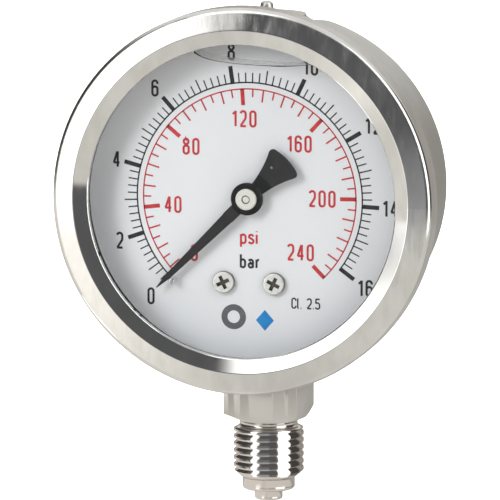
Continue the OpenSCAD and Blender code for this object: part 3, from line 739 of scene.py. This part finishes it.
def thread_radius(a, z):
    """Radius of the right-hand thread at an angle from +x towards the viewer, and a height."""
    turns = (z - FRONT_CREST) / PITCH + (a - math.pi / 2) / (2 * math.pi)
    off_crest = abs(turns - round(turns)) * PITCH
    flank = max(0, off_crest - CREST_HALF) / (PITCH / 2 - CREST_HALF)
    # The crest's edge is rounded off over the first tenth of the flank
    r = THREAD_R - THREAD_DEPTH * (math.sqrt(flank * flank + 0.01) - 0.1) / 0.905
    run_in = COLLAR_R + (z - COLLAR_TOP) * RUN_IN
    run_out = NECK_R + (THREAD_TOP - z) * RUN_OUT
    return max(min(r, run_in, run_out), COLLAR_R if z < 5 else NECK_R)


def ring(bm, radius, z):
    return [bm.verts.new((radius * math.cos(a), z, radius * math.sin(a))) for a in angles]


stem = bmesh.new()
profile = [(BORE_R, BORE_DEPTH), (BORE_R, PIN_END + 0.3), (BORE_R + 0.2, PIN_END)]
profile += arc(PIN_R - PIN_ROUND, PIN_END + PIN_ROUND, PIN_ROUND, -90, 0, 5)
profile += [(PIN_R, PIN_END + PIN_ROUND + 0.02), (PIN_R, 0)]
profile += arc(COLLAR_R - COLLAR_ROUND, COLLAR_ROUND, COLLAR_ROUND, -90, 0, 6)
profile += [(COLLAR_R, COLLAR_ROUND + 0.02)]
loops = [ring(stem, r, z) for r, z in profile]
THREAD_RINGS = 190
for i in range(THREAD_RINGS + 1):
    z = COLLAR_TOP + (THREAD_TOP - COLLAR_TOP) * i / THREAD_RINGS
    loops.append([stem.verts.new((thread_radius(a, z) * math.cos(a), z, thread_radius(a, z) * math.sin(a)))
                  for a in angles])
loops.append(ring(stem, NECK_R, SQUARE_FROM))
foot = []
for x, f in outer:
    r = math.hypot(x, f)
    # The front right corner reaches a little lower than the cone would
    drop = 0.35 * min(1, max(0, (r - 8.0) / 1.9)) if x > 0 and f > 0 else 0
    foot.append(stem.verts.new((x, SQUARE_FROM + (r - NECK_R) * CONE_SLOPE - drop, f)))
loops.append(foot)
loops.append([stem.verts.new((x, SQUARE_TOP, f)) for x, f in outer])
loops.append([stem.verts.new((x, SQUARE_TOP, f)) for x, f in inner])
loops.append([stem.verts.new((x, BLOCK_TOP, f)) for x, f in inner])
for p, q in zip(loops, loops[1:]):
    for k in range(len(p)):
        k2 = (k + 1) % len(p)
        stem.faces.new((p[k], p[k2], q[k2], q[k]))
stem.faces.new(loops[0])
stem.faces.new(loops[-1])
# Points are (x, height, towards the viewer) from the sealing face
STANDING = Matrix(((MM, 0, 0, 0), (0, 0, -MM, 0), (0, MM, 0, 0), (0, 0, 0, 1)))
stem_piece = finish_piece(put("threaded_stem", stem, STANDING, smooth=42), "housing", "stem_steel", STEM,
                          "process_connection")
stem_piece.data.materials.append(FLATS)
for p in stem_piece.data.polygons:
    if p.center.z > (SQUARE_FROM + 0.05) * MM:
        p.material_index = 1


# ---------------------------------------------------------------- floor and light
FLOOR_R = 1400


def stage_floor():
    """A pale floor that looks plain white to the camera and warm in the light it gives back."""
    bm = bmesh.new()
    bmesh.ops.create_circle(bm, cap_ends=True, segments=96, radius=FLOOR_R)
    obj = put("floor", bm, Matrix.Translation((0, 0, cad_lo.z - 1e-4)) @ UPRIGHT, smooth=0)
    m, nt, out = new_material("pale_floor")
    d = nt.nodes.new("ShaderNodeBsdfDiffuse")
    d.inputs["Color"].default_value = (0.86, 0.86, 0.86, 1)
    e = nt.nodes.new("ShaderNodeEmission")
    e.inputs["Color"].default_value = (1, 1, 1, 1)
    e.inputs["Strength"].default_value = 1.0
    white = nt.nodes.new("ShaderNodeAddShader")
    nt.links.new(d.outputs[0], white.inputs[0])
    nt.links.new(e.outputs[0], white.inputs[1])
    warm = nt.nodes.new("ShaderNodeEmission")
    warm.inputs["Color"].default_value = (0.86, 0.82, 0.75, 1)
    warm.inputs["Strength"].default_value = 1.0
    path = nt.nodes.new("ShaderNodeLightPath")
    pick = nt.nodes.new("ShaderNodeMixShader")
    nt.links.new(path.outputs["Is Camera Ray"], pick.inputs["Fac"])
    nt.links.new(warm.outputs[0], pick.inputs[1])
    nt.links.new(white.outputs[0], pick.inputs[2])
    nt.links.new(pick.outputs[0], out.inputs["Surface"])
    obj.data.materials.append(m)
    obj.visible_glossy = False


def stage_card():
    """A white card lying at the left, seen only in the reflections on the stem."""
    bm = bmesh.new()
    corners = [(-98, -44), (-62, -44), (-62, -74), (-98, -74)]
    bm.faces.new([bm.verts.new((x, y, 0)) for x, y in corners])
    obj = put("card", bm, Matrix.Translation((0, 0, cad_lo.z - 5e-5)) @ UPRIGHT, smooth=0)
    m, nt, out = new_material("white_card")
    e = nt.nodes.new("ShaderNodeEmission")
    e.inputs["Strength"].default_value = 2.2
    nt.links.new(e.outputs[0], out.inputs["Surface"])
    obj.data.materials.append(m)
    obj.visible_camera = False
    obj.visible_diffuse = False
    obj.visible_shadow = False


stage_floor()
stage_card()

world = bpy.data.worlds.new("studio")
bpy.context.scene.world = world
world.use_nodes = True
wt = world.node_tree
wt.nodes.clear()
wout = wt.nodes.new("ShaderNodeOutputWorld")
tc = wt.nodes.new("ShaderNodeTexCoord")
sep = wt.nodes.new("ShaderNodeSeparateXYZ")
wt.links.new(tc.outputs["Generated"], sep.inputs[0])


def wmath(op, a, b=0.0):
    return math_node(wt, op, a, b)


def wstep(value, at, soft):
    """0 below at and 1 above it, over a soft edge."""
    r = wt.nodes.new("ShaderNodeMapRange")
    r.interpolation_type = "SMOOTHSTEP"
    r.inputs["From Min"].default_value = at - soft
    r.inputs["From Max"].default_value = at + soft
    wt.links.new(value, r.inputs["Value"])
    return r.outputs["Result"]


def toward(value, start, end):
    """0 at start, 1 at end, smooth between them."""
    step = wstep(value, (start + end) / 2, abs(end - start) / 2)
    return step if end > start else wmath("SUBTRACT", 1.0, step)


def band(value, lo, hi, soft):
    """1 between lo and hi, 0 outside them."""
    return wmath("MULTIPLY", wstep(value, lo, soft), wmath("SUBTRACT", 1.0, wstep(value, hi, soft)))


def mixed(fac, below, above, blend="MIX"):
    """Two colours mixed; each is a triple or a socket."""
    mix = wt.nodes.new("ShaderNodeMix")
    mix.data_type = "RGBA"
    mix.blend_type = blend
    for name, value in (("Factor", fac), ("A", below), ("B", above)):
        if isinstance(value, tuple):
            mix.inputs[name].default_value = (*value, 1)
        elif isinstance(value, float):
            mix.inputs[name].default_value = value
        else:
            wt.links.new(value, mix.inputs[name])
    return mix.outputs["Result"]


# Degrees to the right of the way the dial faces, and degrees up
DEGREES = 180 / math.pi
ahead = wmath("MULTIPLY", sep.outputs["Y"], -1.0)
azimuth = wmath("MULTIPLY", wmath("ARCTAN2", sep.outputs["X"], ahead), DEGREES)
elevation = wmath("MULTIPLY", wmath("ARCSINE", sep.outputs["Z"]), DEGREES)

ROOM = (0.07, 0.068, 0.064)
REAR_WALL = (0.40, 0.38, 0.35)
REAR_HIGH = (0.95, 0.94, 0.92)
CEILING = (0.9, 0.9, 0.89)
FRONT, FRONT_LEVEL, FRONT_GLOW = (1.0, 1.02, 1.07), 0.118, 0.26
LEFT_BOX = (2.3, 2.3, 2.28)
RIGHT_BOX = (2.2, 2.2, 2.18)
TABLE, TABLE_LEVEL = (1.0, 0.977, 0.924), 0.72

# Dim room, lighter behind and overhead, dark in front with a faint glow low down
behind = toward(wmath("ABSOLUTE", azimuth), 125, 145)
sky = mixed(behind, ROOM, REAR_WALL)
sky = mixed(times(wt, toward(elevation, 6, 24), behind), sky, REAR_HIGH)
sky = mixed(toward(elevation, 30, 48), sky, CEILING)
glow = times(wt, toward(elevation, 5, -10), toward(azimuth, 19, 12), toward(azimuth, -35, -25))
front_level = wmath("ADD", wmath("MULTIPLY", glow, FRONT_GLOW), FRONT_LEVEL)
front = mixed(1.0, FRONT, front_level, "MULTIPLY")
sky = mixed(times(wt, band(azimuth, -62, 58, 5), toward(elevation, 60, 34)), sky, front)

# White box at the left, with slanting sides
inner_edge = wmath("SUBTRACT", azimuth, wmath("MULTIPLY", elevation, 0.45))
outer_edge = wmath("SUBTRACT", azimuth, wmath("MULTIPLY", elevation, 0.3))
box_width = times(wt, toward(outer_edge, -49.5, -43.5), toward(inner_edge, -20.5, -30.5))
sky = mixed(times(wt, box_width, band(elevation, -12, 62, 2)), sky, LEFT_BOX)

# Pale table below the horizon, brightest near the left box and dimmer behind
near_left = times(wt, toward(azimuth, -16, -36), toward(elevation, -40, -18), toward(azimuth, -47, -42))
table_level = TABLE_LEVEL
for part, amount in ((toward(azimuth, -12, -30), 0.13), (near_left, 0.5), (toward(azimuth, -8, 4), 0.06),
                     (behind, -0.32)):
    table_level = wmath("ADD", table_level, wmath("MULTIPLY", part, amount))
table = mixed(1.0, TABLE, table_level, "MULTIPLY")
horizon = wmath("ADD", wmath("MULTIPLY", toward(azimuth, -40, -50), 5.5), -10.5)
sky = mixed(wstep(wmath("SUBTRACT", horizon, elevation), 0.0, 0.8), sky, table)

# White box at the right, and plain white for the camera itself
sky = mixed(times(wt, band(azimuth, 45, 88, 1.5), band(elevation, -16, 62, 2)), sky, RIGHT_BOX)
path = wt.nodes.new("ShaderNodeLightPath")
seen = mixed(path.outputs["Is Camera Ray"], sky, (1.0, 1.0, 1.0))
bg = wt.nodes.new("ShaderNodeBackground")
wt.links.new(seen, bg.inputs["Color"])
wt.links.new(bg.outputs[0], wout.inputs["Surface"])

LIT_POINT = Vector((0, 0, 0.055))


def softbox(name, azimuth_deg, elevation_deg, distance, size, power):
    """An area light aimed at the dial that only lights, and isn't seen in reflections."""
    a, e = math.radians(azimuth_deg), math.radians(elevation_deg)
    back = Vector((math.sin(a) * math.cos(e), -math.cos(a) * math.cos(e), math.sin(e)))
    data = bpy.data.lights.new(name, "AREA")
    data.shape = "RECTANGLE"
    data.size, data.size_y = size
    data.energy = power
    obj = bpy.data.objects.new(name, data)
    obj.location = LIT_POINT + back * distance
    obj.rotation_mode = "QUATERNION"
    obj.rotation_quaternion = (-back).to_track_quat("-Z", "Y")
    obj.visible_glossy = False
    obj.visible_camera = False
    bpy.context.scene.collection.objects.link(obj)


softbox("key", -36, 24, 0.8, (0.35, 0.35), 2.9)
softbox("fill", 30, 8, 0.9, (0.6, 0.6), 1.3)
softbox("rear", 170, 45, 0.9, (0.6, 0.6), 0.9)

scene = bpy.context.scene
scene.view_settings.view_transform = "Standard"
scene.view_settings.look = "None"
scene.cycles.max_bounces = 10
scene.cycles.transparent_max_bounces = 12
scene.cycles.sample_clamp_indirect = 6
